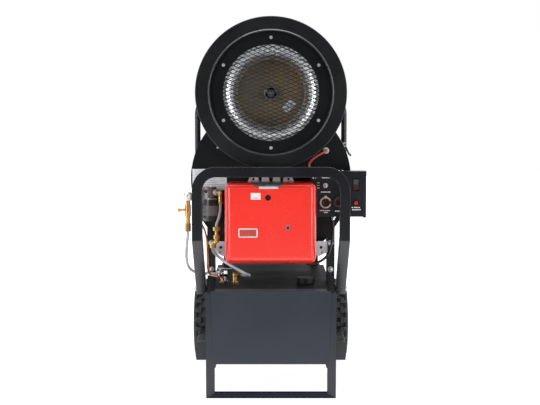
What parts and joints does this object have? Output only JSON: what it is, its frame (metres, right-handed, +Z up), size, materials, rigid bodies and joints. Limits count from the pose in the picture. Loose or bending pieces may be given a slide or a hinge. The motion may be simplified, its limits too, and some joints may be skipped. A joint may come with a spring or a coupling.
{
  "type": "indirect oil-fired air heater",
  "caption": "Wheeled air heater with a drum and inlet fan, a red-hooded oil burner, a control box and a fuel tank; its fan, wheels, switches, valve, cap and latches move.",
  "frame": {"origin": "middle of the foot bar's underside, on the ground", "axes": "+Z up, +X to the right of the burner end, +Y back to the warm-air outlet"},
  "size_m": [0.725, 1.0755, 1.421],
  "materials": {
    "foot_paint": "semi-gloss",
    "frame_paint": "semi-gloss",
    "zinc_fasteners": "satin",
    "axle_steel": "satin",
    "tyre_rubber": "matte",
    "rim_paint": "semi-gloss",
    "tank_paint": "gloss",
    "panel_paint": "semi-gloss",
    "black_plastic": "matte",
    "drum_paint": "semi-gloss",
    "chamber_steel": "satin",
    "flue_steel": "satin",
    "guard_paint": "matte",
    "galvanised_sheet": "satin",
    "impeller_steel": "satin",
    "motor_iron": "matte",
    "cast_aluminium": "cast",
    "cast_burner": "cast",
    "cover_red": "satin",
    "vent_metal": "satin",
    "bracket_zinc": "satin",
    "button_red": "gloss",
    "box_paint": "semi-gloss",
    "rocker_plastic": "gloss",
    "fitting_plastic": "satin",
    "gland_metal": "satin",
    "cable_rubber": "matte",
    "gland_white": "matte",
    "wire_red": "satin",
    "filter_cast": "cast",
    "canister_paint": "gloss",
    "brass": "satin",
    "hose_clear": "gloss",
    "pipe_copper": "satin",
    "valve_nickel": "polished",
    "latch_black": "satin",
    "label_white": "satin"
  },
  "bodies": {
    "chassis": {"foot_loop": "foot_paint", "base_frame": "frame_paint", "drum_cradle": "frame_paint", "front_hoop": "frame_paint", "push_hoop": "frame_paint", "frame_bolts": "zinc_fasteners", "axle": "axle_steel", "axle_nuts": "zinc_fasteners", "tank_shell": "tank_paint", "tank_front_panel": "panel_paint", "drum_shell": "drum_paint", "drum_front_plate": "drum_paint", "outlet_cone": "drum_paint", "combustion_chamber": "chamber_steel", "heat_exchanger": "chamber_steel", "flue_spigot": "flue_steel", "fan_casing": "drum_paint", "inlet_ring": "drum_paint", "fan_guard": "guard_paint", "guard_screws": "zinc_fasteners", "inlet_cone": "galvanised_sheet", "air_hood": "drum_paint", "fan_motor": "motor_iron", "motor_bracket": "motor_iron", "burner_flange": "cast_aluminium", "blast_tube": "chamber_steel", "burner_body": "cast_burner", "burner_cover": "cover_red", "cover_screw": "zinc_fasteners", "cover_vent": "vent_metal", "burner_brackets": "bracket_zinc", "control_box": "box_paint", "box_lid": "box_paint", "panel_fittings": "fitting_plastic", "box_gland": "gland_metal", "burner_cable": "cable_rubber", "wire_gland": "gland_white", "red_wire": "wire_red", "filter_head": "filter_cast", "filter_canister": "canister_paint", "brass_fittings": "brass", "fuel_hoses": "hose_clear", "return_pipe": "pipe_copper", "vent_body": "brass", "valve_body": "valve_nickel", "latch_bases": "zinc_fasteners", "label_plate": "label_white"},
    "fan_rotor": {"impeller": "impeller_steel"},
    "wheel_left": {"tyre_left": "tyre_rubber", "rim_left": "rim_paint"},
    "wheel_right": {"tyre_right": "tyre_rubber", "rim_right": "rim_paint"},
    "rocker": {"rocker_switch": "rocker_plastic"},
    "toggle": {"toggle_lever": "zinc_fasteners"},
    "panel_button": {"reset_button": "button_red"},
    "burner_button": {"burner_reset": "button_red"},
    "valve_handle": {"valve_lever": "valve_nickel"},
    "filler_cap": {"tank_cap": "black_plastic"},
    "latch_right_lever": {"latch_right": "latch_black"},
    "latch_left_lever": {"latch_left": "latch_black"}
  },
  "joints": [
    {"name": "fan_spin", "type": "hinge", "parent": "chassis", "child": "fan_rotor", "pos_m": [0, 0.17, 1.139], "axis": [0, 1, 0], "continuous": true},
    {"name": "wheel_left_spin", "type": "hinge", "parent": "chassis", "child": "wheel_left", "pos_m": [-0.276, 0.632, 0.175], "axis": [1, 0, 0], "continuous": true},
    {"name": "wheel_right_spin", "type": "hinge", "parent": "chassis", "child": "wheel_right", "pos_m": [0.276, 0.632, 0.175], "axis": [1, 0, 0], "continuous": true},
    {"name": "rocker_tip", "type": "hinge", "parent": "chassis", "child": "rocker", "pos_m": [0.3265, 0.164, 0.79], "axis": [1, 0, 0], "range_deg": [-8, 8]},
    {"name": "toggle_tilt", "type": "hinge", "parent": "chassis", "child": "toggle", "pos_m": [0.209, 0.154, 0.787], "axis": [1, 0, 0], "range_deg": [-22, 22]},
    {"name": "panel_button_press", "type": "slide", "parent": "chassis", "child": "panel_button", "axis": [0, 1, 0], "range_m": [0, 0.003], "stiffness_N_per_m": 900},
    {"name": "burner_button_press", "type": "slide", "parent": "chassis", "child": "burner_button", "axis": [0, 1, 0], "range_m": [0, 0.003], "stiffness_N_per_m": 900},
    {"name": "valve_turn", "type": "hinge", "parent": "chassis", "child": "valve_handle", "pos_m": [-0.2, 0.21, 0.447], "axis": [0, 0, 1], "range_deg": [-90, 0]},
    {"name": "cap_lift", "type": "slide", "parent": "chassis", "child": "filler_cap", "axis": [0, 0, 1], "range_m": [0, 0.05]},
    {"name": "latch_right_open", "type": "hinge", "parent": "chassis", "child": "latch_right_lever", "pos_m": [0.2921, 0.3, 0.93912], "axis": [0, 1, 0], "range_deg": [-120, 0]},
    {"name": "latch_left_open", "type": "hinge", "parent": "chassis", "child": "latch_left_lever", "pos_m": [-0.3151, 0.54, 0.86725], "axis": [0, 1, 0], "range_deg": [0, 120]}
  ]
}
